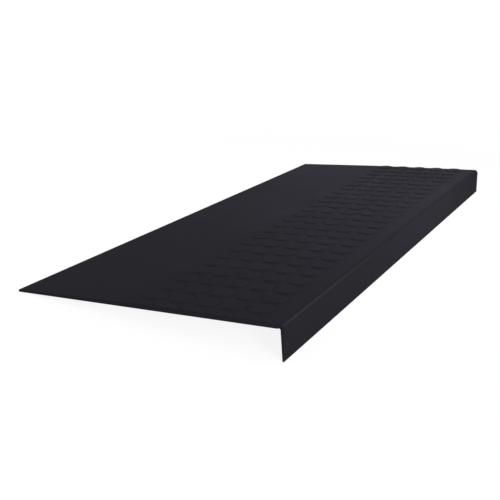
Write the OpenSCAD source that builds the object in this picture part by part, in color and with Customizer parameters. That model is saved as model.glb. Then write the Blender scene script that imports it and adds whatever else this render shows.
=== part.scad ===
// Moulded rubber stair tread with a square nose and raised discs.
// It lies right side up on a level floor, on the tip of its nose and on its back edge.

/* [Sheet] */
// Length of the tread along the step
tread_length = 762; // [300:1:1500]
// Depth of the tread from the front of the nose to the back edge
tread_depth = 317.5; // [230:0.5:400]
// Thickness of the sheet at the nose and under the discs
front_thickness = 4.8; // [4:0.1:8]
// Thickness of the sheet at the back edge
back_thickness = 2.7; // [1.5:0.1:4]
// Distance from the last discs to where the top starts to fall towards the back edge
taper_gap = 12; // [2:1:30]

/* [Nose] */
// Height of the nose from the top of the sheet down to its tip
nose_drop = 37; // [25:0.5:60]
// Thickness of the nose where it leaves the sheet
nose_root = 3.9; // [3:0.1:6]
// Thickness of the nose at its tip
nose_tip = 1.9; // [1.2:0.1:3]
// Angle by which the front of the nose leans in under the sheet
nose_lean = 2; // [0:0.5:6]
// Radius of the outer corner between the top and the nose
corner_radius = 5; // [1:0.5:6]

/* [Relief groove] */
// Radius of the groove under the sheet that lets the nose flex
groove_radius = 1.2; // [0.8:0.1:2]
// Depth of the groove
groove_depth = 0.6; // [0.2:0.1:0.8]
// Distance from the inner side of the nose to the middle of the groove
groove_offset = 1.6; // [1.2:0.1:5]

/* [Raised discs] */
// Diameter of a disc at its foot
disc_diameter = 25; // [15:0.5:28]
// Height of a disc above the sheet
disc_height = 1; // [0.4:0.1:2]
// Width of the sloping edge of a disc, seen from above
disc_slope = 0.6; // [0.2:0.1:2]
// Distance between the centres of neighbouring discs, both ways
disc_pitch = 30; // [29:0.5:40]
// Number of rows of discs across the depth
disc_rows = 5; // [1:1:6]
// Distance from the front of the nose to the centres of the first row
first_row = 38.5; // [30:0.5:60]
// Distance from the left end to the centres of the first column, which 0 cuts in half
first_column = 0; // [0:0.5:30]

/* [Hidden] */
// Facets on round forms
$fn = 64;
// Overlap that keeps cuts and unions clean
eps = 0.5;

// Inward shift of the front of the nose at its tip
tip_shift = nose_drop * tan(nose_lean);
// Distance of the inner side of the tip from the front of the nose
tip_inner = tip_shift + nose_tip / cos(nose_lean);
// Distance from the front of the nose to the start of the taper
taper_start = first_row + disc_pitch * (disc_rows - 1) + disc_diameter / 2 + taper_gap;
// Height by which the top falls from there to the back edge
taper_fall = front_thickness - back_thickness;

// Centre of the outer corner's arc, and where the arc meets the leaning front
arc_x = corner_radius * (1 + sin(nose_lean)) / cos(nose_lean);
arc_front = [
    arc_x - corner_radius * cos(nose_lean),
    -corner_radius * (1 + sin(nose_lean))
];

// Tilt at which the tip of the nose and the back edge both touch the floor
rest_tilt = atan2(nose_drop - front_thickness, tread_depth - tip_inner);
// Height of the front corner above the floor, and the reach of the lying tread front and back
corner_height = tread_depth * sin(rest_tilt) + front_thickness * cos(rest_tilt);
lying_front = tip_shift * cos(rest_tilt) - nose_drop * sin(rest_tilt);
lying_back = tread_depth * cos(rest_tilt) - taper_fall * sin(rest_tilt);

// Columns of discs that fit in the length, counting those that the ends cut
disc_columns = 1 + floor((tread_length - first_column + disc_diameter / 2) / disc_pitch);

// Outline of the tread with the space for the step still filled in.
// X is the distance from the front of the nose, Y is the height from the top.
module outer_outline() {
    polygon([
        [arc_x, 0],
        [taper_start, 0],
        [tread_depth, -taper_fall],
        [tread_depth, -nose_drop],
        [tip_shift, -nose_drop],
        arc_front
    ]);
    translate([arc_x, -corner_radius])
        circle(r = corner_radius);
}

// Space under the sheet and behind the nose, where the step goes
module step_outline() {
    draft = (tip_inner - nose_root) / (nose_drop - front_thickness);
    polygon([
        [nose_root, -front_thickness],
        [tread_depth + eps, -front_thickness],
        [tread_depth + eps, -nose_drop - eps],
        [tip_inner + eps * draft, -nose_drop - eps]
    ]);
    translate([
        nose_root + groove_offset,
        groove_depth - front_thickness - groove_radius
    ])
        circle(r = groove_radius);
}

// Sheet and nose as one moulded section, drawn along the length
module sheet_and_nose() {
    rotate([90, 0, 90])
        linear_extrude(height = tread_length)
            difference() {
                outer_outline();
                step_outline();
            }
}

// One low disc with a sloping edge, standing on the top of the sheet
module raised_disc() {
    foot = disc_diameter / 2;
    slope = disc_slope / disc_height;
    translate([0, 0, -eps])
        cylinder(
            h = disc_height + eps,
            r1 = foot + eps * slope,
            r2 = foot - disc_slope
        );
}

// The grid of discs, cut off flush with both ends of the tread
module disc_grid() {
    intersection() {
        for (column = [0 : disc_columns - 1], row = [0 : disc_rows - 1])
            translate([
                first_column + column * disc_pitch,
                first_row + row * disc_pitch,
                0
            ])
                raised_disc();
        translate([0, 0, -disc_height])
            cube([tread_length, taper_start, disc_height * 3]);
    }
}

// The whole tread, tilted as it lies, with its origin in the middle of its footprint
module stair_tread() {
    color("dimgray")
        translate([-tread_length / 2, -(lying_front + lying_back) / 2, corner_height])
            rotate([-rest_tilt, 0, 0]) {
                sheet_and_nose();
                disc_grid();
            }
}

stair_tread();
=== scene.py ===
"""Moulded rubber stair tread with a square nose and a grid of raised discs, lit as in a plain studio.

Lengths are in metres. The tread is first laid out flat, as it comes out of its mould: x runs along its
length from the near end, u is the distance back from the front of the nose and v the height above the top
of the sheet. It is then tipped onto the tip of its nose and its back edge, as it lies on the floor.
"""

import math

import bmesh
import bpy
from mathutils import Matrix, Vector


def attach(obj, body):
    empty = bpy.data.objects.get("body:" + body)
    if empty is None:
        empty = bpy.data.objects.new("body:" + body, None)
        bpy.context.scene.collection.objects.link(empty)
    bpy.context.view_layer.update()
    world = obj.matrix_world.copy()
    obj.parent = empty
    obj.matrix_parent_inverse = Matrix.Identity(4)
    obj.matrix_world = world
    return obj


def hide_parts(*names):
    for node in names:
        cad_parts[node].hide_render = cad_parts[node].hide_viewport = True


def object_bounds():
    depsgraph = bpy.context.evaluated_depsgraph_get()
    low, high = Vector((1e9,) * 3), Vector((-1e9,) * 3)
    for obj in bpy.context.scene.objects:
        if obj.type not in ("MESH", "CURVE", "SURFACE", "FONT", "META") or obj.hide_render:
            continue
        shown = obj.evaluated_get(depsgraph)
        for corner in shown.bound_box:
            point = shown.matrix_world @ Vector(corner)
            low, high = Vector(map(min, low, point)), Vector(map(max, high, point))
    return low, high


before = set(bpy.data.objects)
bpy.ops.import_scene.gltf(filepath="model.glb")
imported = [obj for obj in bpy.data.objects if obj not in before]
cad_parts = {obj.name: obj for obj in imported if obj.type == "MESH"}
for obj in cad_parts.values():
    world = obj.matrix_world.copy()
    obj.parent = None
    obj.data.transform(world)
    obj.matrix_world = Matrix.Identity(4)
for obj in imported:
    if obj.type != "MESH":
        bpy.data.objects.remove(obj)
cad_low, cad_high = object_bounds()

MM = 0.001

# Sheet
TREAD_LENGTH = cad_high.x - cad_low.x
TREAD_DEPTH = 317.5 * MM
FRONT_THICKNESS = 4.8 * MM
BACK_THICKNESS = 2.7 * MM
TAPER_GAP = 12 * MM

# Nose
NOSE_DROP = 37 * MM
NOSE_ROOT = 3.9 * MM
NOSE_TIP = 1.9 * MM
NOSE_LEAN = math.radians(2)
CORNER_RADIUS = 5 * MM

# Groove that lets the nose flex
GROOVE_RADIUS = 1.2 * MM
GROOVE_DEPTH = 0.6 * MM
GROOVE_OFFSET = 1.6 * MM

# Raised discs
DISC_RADIUS = 12.5 * MM
DISC_HEIGHT = 1 * MM
DISC_SLOPE = 0.6 * MM
DISC_PITCH = 30 * MM
DISC_ROWS = 5
FIRST_ROW = 38.5 * MM
DISC_COLUMNS = 1 + math.floor((TREAD_LENGTH + DISC_RADIUS) / DISC_PITCH)

# Small radii that the mould and the knife leave, too fine for the plain solid
TIP_RADIUS = 0.6 * MM
BACK_EDGE_RADIUS = 0.7 * MM
INNER_CORNER_RADIUS = 0.4 * MM
DISC_FOOT_RADIUS = 0.4 * MM
DISC_RIM_RADIUS = 0.45 * MM
CUT_EDGE_RADIUS = 0.12 * MM

# How finely the mesh is divided
CELL_STEPS = 10
CORNER_STEPS = 10
SMALL_STEPS = 3
FLAT_STEP = 14 * MM
CORNER_BORDER = 1.2 * MM
FOOT_BORDER = 2 * DISC_FOOT_RADIUS
RIM_BORDER = 3 * DISC_RIM_RADIUS

# Places closer than this count as one, and a vertex within the second distance lies on a cut
SAME_PLACE = 0.0001 * MM
ON_CUT = 0.001 * MM

# Least cosine of half a corner's turn that counts when an outline moves inwards, so that a sharp
# corner doesn't run out too far
LEAST_COSINE = 0.5

# How much of a vertex's normal has to point across the tread, or along it, to count as facing that way
FACING = 0.5
FACING_ALONG = 0.7

# Weight of the large faces in the vertices' normals, at its most, so that the flat parts are shaded flat
# right up to the small radii
LARGE_FACE_WEIGHT = 100

# Polish on the outer corner, which lowers its roughness and darkens it with painted shade: the least
# distance of its vertices from the arc's centre, half the width of the polish and its fade at either
# side, all as shares of the corner's radius, and the distance from the near end over which it fades
# along the tread
ON_ARC = 0.9
POLISH_HALF_WIDTH = 0.5
POLISH_FADE = 0.3
POLISH_REACH = 300 * MM

# Painted shade in a dark line along the top, next to the outer corner: the distances back from the nose
# where it starts, is full, starts to fade and ends, then the distance from the near end over which it
# comes up, and how strong it is at the near end and from there on
SHADE_LINE_BAND = (1.5 * MM, 4 * MM, 4 * MM, 8 * MM)
SHADE_LINE_REACH = 500 * MM
SHADE_LINE_NEAR = 0.05
SHADE_LINE_FAR = 0.45

# Painted light on the lower sloping edges of the discs, which softens their shade: the heights on those
# edges where it starts, is full, starts to fade and ends
FOOT_LIGHT_BAND = (0.0, 0.1 * DISC_HEIGHT, 0.5 * DISC_HEIGHT, 0.9 * DISC_HEIGHT)

# Colours of the rubber: as moulded, with its dusty bloom, with painted light at the foot of a disc,
# with painted shade on the polished corner and the line next to it, and buffed underneath
MOULDED_DARK = (0.0135, 0.0129, 0.0170, 1)
MOULDED_PALE = (0.0155, 0.0148, 0.0196, 1)
BLOOM = (0.0175, 0.0168, 0.0215, 1)
FOOT_PAINTED_LIGHT = (0.0218, 0.0209, 0.0272, 1)
PAINTED_SHADE = (0.0055, 0.0053, 0.0069, 1)
BUFFED_DARK = (0.0190, 0.0184, 0.0210, 1)
BUFFED_PALE = (0.0290, 0.0280, 0.0310, 1)

# How much the bloom and the scuffs change the colour, and how much painted shade darkens the polish
BLOOM_COLOUR = 0.25
SCUFF_COLOUR = 0.2
POLISH_SHADE = 0.6

# Roughness: least and most where moulded, under the bloom and how much of that shows, where polished,
# where buffed and where cut
MOULDED_ROUGHNESS = (0.76, 0.84)
BLOOM_ROUGHNESS = 0.9
BLOOM_DULLING = 0.5
POLISHED_ROUGHNESS = 0.36
BUFFED_ROUGHNESS = 0.92
CUT_ROUGHNESS = 0.8

# Strength and depth of the grain and of the fine marks, how much a scuff flattens the grain, and the
# strength of the gloss
RELIEF_STRENGTH = 0.35
RELIEF_DEPTH = 0.08 * MM
SCUFF_FLATTENING = 0.5
GLOSS = 0.015

# Cloudy noises: features a metre, number of finer layers, and how strong each of those is
CLOUDS = (18.0, 5.0, 0.6)
BLOOM_CLOUDS = (4.0, 4.0, 0.5)
GRAIN = (1400.0, 3.0, 0.55)

# Noises that are drawn out into lines: features a metre along x, u and v, the turns of the two sets of
# scuffs, and the number of finer layers with how strong each of those is
BUFF_SCALES = (25, 1200, 1200)
KNIFE_SCALES = (1500, 1500, 60)
SCUFF_SCALES = (30, 1300, 1)
SCUFF_TURNS = (math.radians(25), math.radians(-50))
MARK_LAYERS = (4.0, 0.55)
SCUFF_LAYERS = (2.0, 0.55)

# Noise levels between which the clouds, the bloom and the scuffs come in
CLOUD_RANGE = (0.3, 0.7)
BLOOM_RANGE = (0.45, 0.7)
SCUFF_RANGE = (0.68, 0.76)

# Floor: its size, its paint as other things see it and as the camera does, and the glow that the camera
# sees with it, which grows between two distances from the middle of the tread
FLOOR_RADIUS = 12
FLOOR_SIDES = 64
FLOOR_PAINT = (0.8, 0.8, 0.8, 1)
THIN_PAINT = (0.14, 0.14, 0.14, 1)
GLOW_NEAR = 0.89
GLOW_FAR = 1.0
GLOW_START = 0.7
GLOW_END = 1.8

# Lights
WHITE = (1, 1, 1, 1)
ROOM_LIGHT = 0.45
WHITE_LIGHT = (1, 1, 1)
COOL_LIGHT = (0.76, 0.73, 1)
LAMP_SIZE = 0.5
CORNER_LAMP_SIZE = 0.14

# Camera, as fitted to the corners, the edges and the grid of discs in the photograph
CAMERA_PLACE = Vector((-1.01665, -0.43845, 0.34216))
CAMERA_AZIMUTH = math.radians(26.71)
CAMERA_ELEVATION = math.radians(18.68)
CAMERA_ROLL = math.radians(-2.58)
SENSOR_WIDTH = 36
FOCAL_PIXELS = 833.3
PHOTO_WIDTH = 500

# Worked out from the sizes above
TIP_SHIFT = NOSE_DROP * math.tan(NOSE_LEAN)
TIP_INNER = TIP_SHIFT + NOSE_TIP / math.cos(NOSE_LEAN)
FIELD_FRONT = FIRST_ROW - DISC_PITCH / 2
FIELD_BACK = FIELD_FRONT + DISC_ROWS * DISC_PITCH
TAPER_START = FIELD_BACK - DISC_PITCH / 2 + DISC_RADIUS + TAPER_GAP
TAPER_FALL = FRONT_THICKNESS - BACK_THICKNESS
REST_TILT = math.atan2(NOSE_DROP - FRONT_THICKNESS, TREAD_DEPTH - TIP_INNER)
CORNER_HEIGHT = TREAD_DEPTH * math.sin(REST_TILT) + FRONT_THICKNESS * math.cos(REST_TILT)


def lying(point):
    """A point (x, u, v) of the flat tread, where it is once the tread lies on the floor."""
    x, u, v = point
    front = TIP_SHIFT * math.cos(REST_TILT) - NOSE_DROP * math.sin(REST_TILT)
    back = TREAD_DEPTH * math.cos(REST_TILT) - TAPER_FALL * math.sin(REST_TILT)
    return Vector((
        x - TREAD_LENGTH / 2,
        u * math.cos(REST_TILT) + v * math.sin(REST_TILT) - (front + back) / 2,
        v * math.cos(REST_TILT) - u * math.sin(REST_TILT) + CORNER_HEIGHT,
    ))


def arc(centre, radius, start, end, steps):
    """Points along an arc, from the angle start to the angle end."""
    angles = [start + (end - start) * k / steps for k in range(steps + 1)]
    return [centre + radius * Vector((math.cos(a), math.sin(a))) for a in angles]


def rounded(before, corner, after, radius):
    """The corner of an outline as a small arc that touches both of its sides."""
    back = (before - corner).normalized()
    on = (after - corner).normalized()
    half = back.angle(on) / 2
    middle = corner + (back + on).normalized() * radius / math.sin(half)
    first = corner + back * radius / math.tan(half) - middle
    last = corner + on * radius / math.tan(half) - middle
    start = math.atan2(first.y, first.x)
    turn = (math.atan2(last.y, last.x) - start + math.pi) % (2 * math.pi) - math.pi
    return arc(middle, radius, start, start + turn, SMALL_STEPS)


def softened(corners):
    """An open outline with each corner rounded that has a radius. The first and last points have none."""
    points = []
    for k, (corner, radius) in enumerate(corners):
        if radius:
            points += rounded(corners[k - 1][0], corner, corners[k + 1][0], radius)
        else:
            points.append(corner)
    return points


def divided(points, longest):
    """The same outline with its long straight stretches cut into equal steps."""
    result = [points[0]]
    for a, b in zip(points, points[1:]):
        steps = max(1, math.ceil((b - a).length / longest))
        result += [a.lerp(b, k / steps) for k in range(1, steps + 1)]
    return result


def section():
    """Section (u, v) from the back of the disc field, round the back edge and the nose, to its front."""
    corner_u = CORNER_RADIUS * (1 + math.sin(NOSE_LEAN)) / math.cos(NOSE_LEAN)
    front_end = Vector((TIP_SHIFT, -NOSE_DROP))
    groove_u = NOSE_ROOT + GROOVE_OFFSET
    groove_half = math.sqrt(GROOVE_RADIUS**2 - (GROOVE_RADIUS - GROOVE_DEPTH) ** 2)
    groove_v = GROOVE_DEPTH - FRONT_THICKNESS - GROOVE_RADIUS
    groove_turn = math.asin(groove_half / GROOVE_RADIUS)
    rear = softened([
        (Vector((FIELD_BACK, 0)), 0),
        (Vector((TAPER_START, 0)), 0),
        (Vector((TREAD_DEPTH, -TAPER_FALL)), BACK_EDGE_RADIUS),
        (Vector((TREAD_DEPTH, -FRONT_THICKNESS)), BACK_EDGE_RADIUS),
        (Vector((groove_u + groove_half, -FRONT_THICKNESS)), 0),
    ])
    groove = arc(
        Vector((groove_u, groove_v)), GROOVE_RADIUS,
        math.pi / 2 - groove_turn, math.pi / 2 + groove_turn, 2 * SMALL_STEPS,
    )
    nose = softened([
        (Vector((groove_u - groove_half, -FRONT_THICKNESS)), 0),
        (Vector((NOSE_ROOT, -FRONT_THICKNESS)), INNER_CORNER_RADIUS),
        (Vector((TIP_INNER, -NOSE_DROP)), TIP_RADIUS),
        (front_end, TIP_RADIUS),
        (Vector((0, 0)), 0),
    ])[:-1]
    corner = arc(
        Vector((corner_u, -CORNER_RADIUS)), CORNER_RADIUS,
        math.pi + NOSE_LEAN, math.pi / 2, CORNER_STEPS,
    )
    before = corner[0] + (front_end - corner[0]).normalized() * CORNER_BORDER
    after = corner[-1] + Vector((CORNER_BORDER, 0))
    front = [before] + corner + [after, Vector((FIELD_FRONT, 0))]
    return divided(rear + groove[1:] + nose[1:] + front, FLAT_STEP)


def disc_profile():
    """Distance from a disc's axis and height, from the flat sheet round it to the middle of its top."""
    foot, rim = DISC_RADIUS, DISC_RADIUS - DISC_SLOPE
    outline = softened([
        (Vector((foot + FOOT_BORDER, 0)), 0),
        (Vector((foot, 0)), DISC_FOOT_RADIUS),
        (Vector((rim, DISC_HEIGHT)), DISC_RIM_RADIUS),
        (Vector((rim - RIM_BORDER, DISC_HEIGHT)), 0),
    ])
    return outline + [Vector((rim / 2, DISC_HEIGHT))]


class TreadMesh:
    """The tread laid flat, with vertices that neighbouring patches share."""

    def __init__(self):
        self.bm = bmesh.new()
        self.known = {}

    def vertex(self, x, u, v):
        """The vertex at a place, made once."""
        key = tuple(round(value / SAME_PLACE) for value in (x, u, v))
        if key not in self.known:
            self.known[key] = self.bm.verts.new((x, u, v))
        return self.known[key]

    def strip(self, first, second, closed=False):
        """Quads between two rows of as many vertices."""
        count = len(first) if closed else len(first) - 1
        for k in range(count):
            after = (k + 1) % len(first)
            self.bm.faces.new((first[k], first[after], second[after], second[k]))

    def disc_cell(self, x, u):
        """A square of the sheet with a raised disc in its middle."""
        half = DISC_PITCH / 2
        steps = [-half + DISC_PITCH * k / CELL_STEPS for k in range(CELL_STEPS)]
        square = [(half, s) for s in steps] + [(-s, half) for s in steps]
        square += [(-half, -s) for s in steps] + [(s, -half) for s in steps]
        ring = [self.vertex(x + a, u + b, 0) for a, b in square]
        turn = 2 * math.pi / len(ring)
        angles = [turn * k - math.pi / 4 for k in range(len(ring))]
        for radius, height in disc_profile():
            inner = [
                self.vertex(x + radius * math.cos(a), u + radius * math.sin(a), height)
                for a in angles
            ]
            self.strip(ring, inner, closed=True)
            ring = inner
        middle = self.vertex(x, u, DISC_HEIGHT)
        for k, corner in enumerate(ring):
            self.bm.faces.new((corner, ring[(k + 1) % len(ring)], middle))


def tread_mesh():
    """The whole tread laid flat, a little too long at both ends."""
    tread = TreadMesh()
    for column in range(DISC_COLUMNS):
        for row in range(DISC_ROWS):
            tread.disc_cell(column * DISC_PITCH, FIRST_ROW + row * DISC_PITCH)
    stations = [
        DISC_PITCH * (k / CELL_STEPS - 0.5) for k in range(DISC_COLUMNS * CELL_STEPS + 1)
    ]
    rows = [[tread.vertex(x, u, v) for x in stations] for u, v in section()]
    for first, second in zip(rows, rows[1:]):
        tread.strip(first, second)
    return tread.bm


def inset(loop, distance):
    """The closed outline loop (u, v), anticlockwise, moved inwards by a distance."""
    result = []
    for k, point in enumerate(loop):
        back = (point - loop[k - 1]).normalized()
        on = (loop[(k + 1) % len(loop)] - point).normalized()
        inward = (Vector((-back.y, back.x)) + Vector((-on.y, on.x))).normalized()
        cosine = max(LEAST_COSINE, inward.dot(Vector((-on.y, on.x))))
        result.append(point + inward * distance / cosine)
    return result


def outline_of(edges):
    """The vertices of one closed loop of edges, in order round it."""
    edge = edges[0]
    start = vertex = edge.verts[0]
    left = set(edges)
    loop = []
    while True:
        loop.append(vertex)
        left.discard(edge)
        vertex = edge.other_vert(vertex)
        if vertex == start:
            return loop
        edge = next(e for e in vertex.link_edges if e in left)


def cut_end(bm, end, inward):
    """Cuts the tread off at x = end, and closes it with a flat face that has a fine soft edge."""
    cut = end + inward * CUT_EDGE_RADIUS
    bmesh.ops.bisect_plane(
        bm, geom=bm.verts[:] + bm.edges[:] + bm.faces[:], dist=SAME_PLACE,
        plane_co=(cut, 0, 0), plane_no=(-inward, 0, 0), clear_outer=True,
    )
    on_cut = {v for v in bm.verts if abs(v.co.x - cut) < ON_CUT}
    rim = [e for e in bm.edges if e.is_boundary and on_cut.issuperset(e.verts)]
    ring = outline_of(rim)
    loop = [Vector((v.co.y, v.co.z)) for v in ring]
    area = sum(a.cross(b) for a, b in zip(loop, loop[1:] + loop[:1]))
    if area < 0:
        ring.reverse()
        loop.reverse()
    for k in range(1, SMALL_STEPS + 1):
        turn = math.pi / 2 * k / SMALL_STEPS
        x = cut - inward * CUT_EDGE_RADIUS * math.sin(turn)
        places = inset(loop, CUT_EDGE_RADIUS * (1 - math.cos(turn)))
        inner = [bm.verts.new((x, p.x, p.y)) for p in places]
        for a in range(len(ring)):
            b = (a + 1) % len(ring)
            bm.faces.new((ring[a], ring[b], inner[b], inner[a]))
        ring = inner
    bm.faces.new(ring)


def corner_share(vertex):
    """Polish and painted shade at a vertex of the flat tread, 1 in the middle of the outer corner's arc.
    """
    u, v = vertex.co.yz
    outside = math.hypot(u - CORNER_RADIUS, v + CORNER_RADIUS) > ON_ARC * CORNER_RADIUS
    if outside and v > -CORNER_RADIUS and u < CORNER_RADIUS:
        return max(0, min(1, (POLISH_HALF_WIDTH - abs(u + v) / CORNER_RADIUS) / POLISH_FADE))
    return 0


def underside_share(vertex):
    """1 on the side of the flat tread that is glued to the step, under the sheet and behind the nose."""
    behind_nose = vertex.normal.y > FACING and vertex.co.y < 2 * NOSE_ROOT
    return 1 if behind_nose or vertex.normal.z < -FACING else 0


def cut_share(vertex):
    """1 on the two ends of the tread, where it was cut to its length."""
    return 1 if abs(vertex.normal.x) > FACING_ALONG else 0


def make_tread():
    """The dressed tread, which stands for the plain solid."""
    bm = tread_mesh()
    cut_end(bm, 0, 1)
    cut_end(bm, TREAD_LENGTH, -1)
    bmesh.ops.triangulate(bm, faces=[f for f in bm.faces if len(f.verts) > 4])
    bmesh.ops.recalc_face_normals(bm, faces=bm.faces[:])
    bm.normal_update()
    flat_place = [v.co.copy() for v in bm.verts]
    shares = {
        "corner": [corner_share(v) for v in bm.verts],
        "underside": [underside_share(v) for v in bm.verts],
        "cut_end": [cut_share(v) for v in bm.verts],
    }
    for v in bm.verts:
        v.co = lying(v.co)
    mesh = bpy.data.meshes.new("tread")
    bm.to_mesh(mesh)
    bm.free()
    attribute = mesh.attributes.new("flat_place", "FLOAT_VECTOR", "POINT")
    attribute.data.foreach_set("vector", [value for place in flat_place for value in place])
    for name, values in shares.items():
        attribute = mesh.attributes.new(name, "FLOAT", "POINT")
        attribute.data.foreach_set("value", values)
    mesh.shade_smooth()
    tread = bpy.data.objects.new("tread", mesh)
    bpy.context.scene.collection.objects.link(tread)
    weighted = tread.modifiers.new("even_normals", "WEIGHTED_NORMAL")
    weighted.weight = LARGE_FACE_WEIGHT
    return tread


class Nodes:
    """A short way to make the nodes of one material and to join them."""

    def __init__(self, tree):
        self.tree = tree
        tree.nodes.clear()

    def add(self, kind, inputs=None, **settings):
        """One node with its settings, and its inputs as values or as other nodes' outputs."""
        node = self.tree.nodes.new(kind)
        for name, value in settings.items():
            setattr(node, name, value)
        for name, value in (inputs or {}).items():
            if isinstance(value, bpy.types.NodeSocket):
                self.tree.links.new(value, node.inputs[name])
            else:
                node.inputs[name].default_value = value
        return node

    def maths(self, operation, a, b):
        """What an operation makes of two numbers or outputs, kept between 0 and 1."""
        node = self.add("ShaderNodeMath", {0: a, 1: b}, operation=operation, use_clamp=True)
        return node.outputs[0]

    def share(self, name):
        """A number that the mesh keeps at its vertices."""
        return self.add("ShaderNodeAttribute", attribute_name=name).outputs["Fac"]

    def noise(self, place, scale, detail, roughness):
        """Cloudy noise from 0 to 1, with a scale in features a metre."""
        node = self.add("ShaderNodeTexNoise", {
            "Vector": place, "Scale": scale, "Detail": detail, "Roughness": roughness,
        })
        return node.outputs["Fac"]

    def marks(self, place, scales, layers, turn=0.0):
        """Noise that is drawn out into fine lines, with its own scale along x, u and v."""
        node = self.add("ShaderNodeMapping", {"Vector": place, "Rotation": (0, 0, turn), "Scale": scales})
        return self.noise(node.outputs["Vector"], 1.0, *layers)

    def between(self, value, low, high, first, last):
        """A number that goes from first to last while value goes from low to high."""
        node = self.add("ShaderNodeMapRange", {
            "Value": value, "From Min": low, "From Max": high, "To Min": first, "To Max": last,
        })
        return node.outputs["Result"]

    def band(self, value, start, full, fade, end):
        """1 while value is between full and fade, and down to 0 at start and at end."""
        rise = self.between(value, start, full, 0.0, 1.0)
        fall = self.between(value, fade, end, 1.0, 0.0)
        return self.maths("MULTIPLY", rise, fall)

    def mix(self, share, first, last, kind="FLOAT"):
        """Two values of one kind mixed: the first where share is 0, the last where it is 1."""
        node = self.add("ShaderNodeMix", {"Factor": share, "A": first, "B": last}, data_type=kind)
        return node.outputs["Result"]

    def blend(self, share, first, last):
        """Two colours mixed in the same way."""
        return self.mix(share, first, last, kind="RGBA")


def scuffs(make, place):
    """Sparse fine scratches in two directions, 1 on a scratch."""
    layers = []
    for turn in SCUFF_TURNS:
        lines = make.marks(place, SCUFF_SCALES, SCUFF_LAYERS, turn)
        layers.append(make.between(lines, *SCUFF_RANGE, 0.0, 1.0))
    return make.maths("MAXIMUM", *layers)


def polish_and_shade(make, flat):
    """Two shares: how polished the outer corner is, and how far painted shade darkens it and the line by
    it.

    X, Y and Z of flat are the places x, u and v on the flat tread.
    """
    near = make.between(flat["X"], 0.0, POLISH_REACH, 1.0, 0.0)
    polish = make.maths("MULTIPLY", make.share("corner"), near)
    # Painted shade in a line along the top next to the corner, stronger further from the near end
    strength = make.between(flat["X"], 0.0, SHADE_LINE_REACH, SHADE_LINE_NEAR, SHADE_LINE_FAR)
    line = make.maths("MULTIPLY", make.band(flat["Y"], *SHADE_LINE_BAND), strength)
    return polish, make.maths("MAXIMUM", line, make.maths("MULTIPLY", polish, POLISH_SHADE))


def rubber():
    """Charcoal rubber: a fine grain where it was moulded, buffed underneath and sliced at its ends."""
    material = bpy.data.materials.new("charcoal_rubber")
    material.use_nodes = True
    make = Nodes(material.node_tree)
    place = make.add("ShaderNodeAttribute", attribute_name="flat_place").outputs["Vector"]
    flat = make.add("ShaderNodeSeparateXYZ", {0: place}).outputs
    underside = make.share("underside")
    cut_end = make.share("cut_end")
    polish, corner_shade = polish_and_shade(make, flat)
    clouds = make.noise(place, *CLOUDS)
    bloom = make.noise(place, *BLOOM_CLOUDS)
    grain = make.noise(place, *GRAIN)
    scratches = scuffs(make, place)
    buff_lines = make.marks(place, BUFF_SCALES, MARK_LAYERS)
    knife_lines = make.marks(place, KNIFE_SCALES, MARK_LAYERS)

    # Colour
    moulded = make.blend(clouds, MOULDED_DARK, MOULDED_PALE)
    moulded = make.blend(make.between(bloom, *BLOOM_RANGE, 0.0, BLOOM_COLOUR), moulded, BLOOM)
    moulded = make.blend(make.maths("MULTIPLY", scratches, SCUFF_COLOUR), moulded, BLOOM)
    # Painted light on the lower slopes of the discs, which softens the shade on them
    moulded = make.blend(make.band(flat["Z"], *FOOT_LIGHT_BAND), moulded, FOOT_PAINTED_LIGHT)
    # Painted shade on the polished outer corner and in the line next to it
    moulded = make.blend(corner_shade, moulded, PAINTED_SHADE)
    buffed = make.blend(buff_lines, BUFFED_DARK, BUFFED_PALE)
    sliced = make.blend(knife_lines, MOULDED_DARK, MOULDED_PALE)
    colour = make.blend(cut_end, make.blend(underside, moulded, buffed), sliced)

    # Roughness
    dull = make.between(clouds, *CLOUD_RANGE, *MOULDED_ROUGHNESS)
    dull = make.mix(make.between(bloom, *BLOOM_RANGE, 0.0, BLOOM_DULLING), dull, BLOOM_ROUGHNESS)
    unpolished = make.maths("SUBTRACT", 1.0, polish)
    roughness = make.mix(make.maths("MULTIPLY", unpolished, unpolished), POLISHED_ROUGHNESS, dull)
    roughness = make.mix(cut_end, make.mix(underside, roughness, BUFFED_ROUGHNESS), CUT_ROUGHNESS)

    # Relief
    grain = make.mix(make.maths("MULTIPLY", scratches, SCUFF_FLATTENING), grain, 0.0)
    height = make.mix(cut_end, make.mix(underside, grain, buff_lines), knife_lines)
    bump = make.add("ShaderNodeBump", {
        "Height": height, "Strength": RELIEF_STRENGTH, "Distance": RELIEF_DEPTH,
    })
    surface = make.add("ShaderNodeBsdfPrincipled", {
        "Base Color": colour,
        "Roughness": roughness,
        "Normal": bump.outputs["Normal"],
        "Specular IOR Level": GLOSS,
    })
    make.add("ShaderNodeOutputMaterial", {"Surface": surface.outputs[0]})
    return material


def seen_or_glossy(make):
    """1 for what the camera sees, straight on, in a gloss or through glass."""
    path = make.add("ShaderNodeLightPath").outputs
    seen = make.maths("ADD", path["Is Camera Ray"], path["Is Glossy Ray"])
    return make.maths("ADD", seen, path["Is Transmission Ray"])


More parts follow.
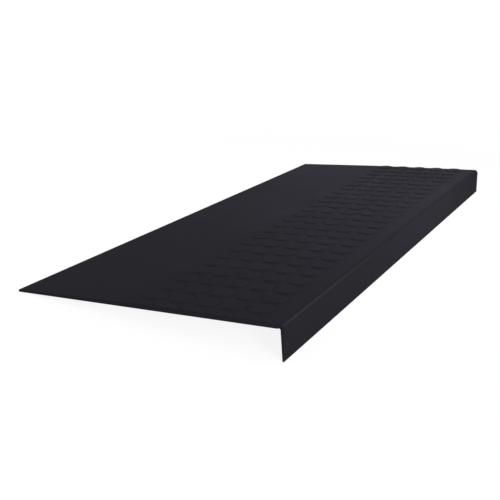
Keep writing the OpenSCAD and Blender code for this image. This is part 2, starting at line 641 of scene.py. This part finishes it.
def make_floor():
    """White floor that keeps a light shadow of the tread."""
    material = bpy.data.materials.new("white_floor")
    material.use_nodes = True
    make = Nodes(material.node_tree)
    paint = make.add("ShaderNodeBsdfDiffuse", {"Color": FLOOR_PAINT})
    thin_paint = make.add("ShaderNodeBsdfDiffuse", {"Color": THIN_PAINT})
    place = make.add("ShaderNodeNewGeometry").outputs["Position"]
    distance = make.add("ShaderNodeVectorMath", {0: place}, operation="LENGTH").outputs["Value"]
    strength = make.between(distance, GLOW_START, GLOW_END, GLOW_NEAR, GLOW_FAR)
    glow = make.add("ShaderNodeEmission", {"Color": WHITE, "Strength": strength})
    seen = make.add("ShaderNodeAddShader", {0: thin_paint.outputs[0], 1: glow.outputs[0]})
    both = make.add(
        "ShaderNodeMixShader", {0: seen_or_glossy(make), 1: paint.outputs[0], 2: seen.outputs[0]}
    )
    make.add("ShaderNodeOutputMaterial", {"Surface": both.outputs[0]})
    bm = bmesh.new()
    bmesh.ops.create_circle(bm, cap_ends=True, segments=FLOOR_SIDES, radius=FLOOR_RADIUS)
    mesh = bpy.data.meshes.new("floor")
    bm.to_mesh(mesh)
    bm.free()
    mesh.materials.append(material)
    floor = bpy.data.objects.new("floor", mesh)
    bpy.context.scene.collection.objects.link(floor)


def make_world():
    """White behind the floor, and a dim even light from all round."""
    world = bpy.data.worlds.new("studio")
    bpy.context.scene.world = world
    world.use_nodes = True
    make = Nodes(world.node_tree)
    room = make.add("ShaderNodeBackground", {"Color": WHITE, "Strength": ROOM_LIGHT})
    white = make.add("ShaderNodeBackground", {"Color": WHITE, "Strength": 1.0})
    both = make.add(
        "ShaderNodeMixShader", {0: seen_or_glossy(make), 1: room.outputs[0], 2: white.outputs[0]}
    )
    make.add("ShaderNodeOutputWorld", {"Surface": both.outputs[0]})


def make_lamp(name, place, watts, size=LAMP_SIZE, colour=WHITE_LIGHT):
    """A square soft lamp that faces the middle of the tread."""
    data = bpy.data.lights.new(name, "AREA")
    data.size = size
    data.energy = watts
    data.color = colour
    lamp = bpy.data.objects.new(name, data)
    lamp.visible_camera = False
    lamp.location = place
    lamp.rotation_mode = "QUATERNION"
    lamp.rotation_quaternion = (-lamp.location).to_track_quat("-Z", "Y")
    bpy.context.scene.collection.objects.link(lamp)


def make_camera():
    """The photograph's camera."""
    data = bpy.data.cameras.new("camera")
    data.sensor_width = SENSOR_WIDTH
    data.lens = FOCAL_PIXELS / PHOTO_WIDTH * SENSOR_WIDTH
    forward = Vector((
        math.cos(CAMERA_AZIMUTH) * math.cos(CAMERA_ELEVATION),
        math.sin(CAMERA_AZIMUTH) * math.cos(CAMERA_ELEVATION),
        -math.sin(CAMERA_ELEVATION),
    ))
    level = forward.cross(Vector((0, 0, 1))).normalized()
    right = Matrix.Rotation(CAMERA_ROLL, 3, forward) @ level
    up = right.cross(forward)
    camera = bpy.data.objects.new("camera", data)
    camera.matrix_world = Matrix.Translation(CAMERA_PLACE) @ Matrix(
        (right, up, -forward)
    ).transposed().to_4x4()
    bpy.context.scene.collection.objects.link(camera)
    bpy.context.scene.camera = camera


make_camera()
make_world()
make_floor()
make_lamp("left", place=(-0.51, 1.90, 0.35), watts=23.5)
make_lamp("right", place=(-1.35, -1.35, 0.62), watts=22.7)
make_lamp("far_end", place=(1.97, 0.0, 0.35), watts=4.8, colour=COOL_LIGHT)
make_lamp("far_left", place=(1.85, 0.67, 0.35), watts=4.5, colour=COOL_LIGHT)
make_lamp("corner_lamp", place=(0.14, -0.375, 0.29), watts=1.1, size=CORNER_LAMP_SIZE)

tread = make_tread()
tread.data.materials.append(rubber())
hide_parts("stair_tread")
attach(tread, "root")

bpy.context.scene.view_settings.view_transform = "Standard"
